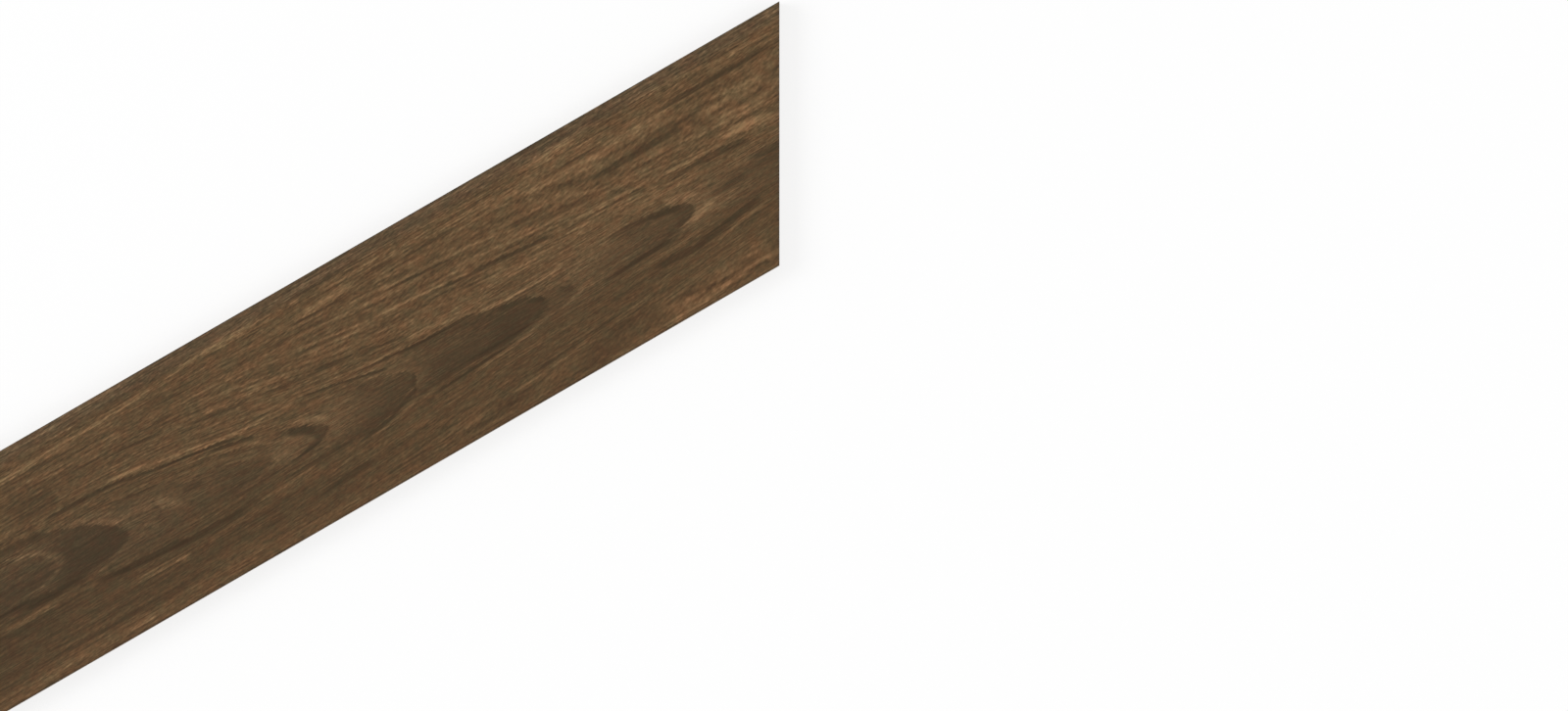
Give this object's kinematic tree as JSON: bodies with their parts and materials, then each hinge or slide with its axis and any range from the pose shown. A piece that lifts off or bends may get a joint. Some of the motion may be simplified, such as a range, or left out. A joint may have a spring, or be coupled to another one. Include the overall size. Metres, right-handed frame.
{
  "type": "chevron wall tile",
  "caption": "Wood-effect porcelain plank with parallel mitred ends, fine bevels round the face and a keyed back; laid beside its mirror image it makes a chevron.",
  "frame": {"origin": "middle of the back, in the plane of its lands, which is the plane the tile rests on", "axes": "+X along the long edges towards the sharp tip on the +Y side, +Y square across the long edges, +Z from the back to the face"},
  "size_m": [0.45, 0.075, 0.009],
  "materials": {
    "matt_printed_porcelain": "matte"
  },
  "bodies": {
    "root": {"chevron_tile": "matt_printed_porcelain"}
  },
  "joints": []
}
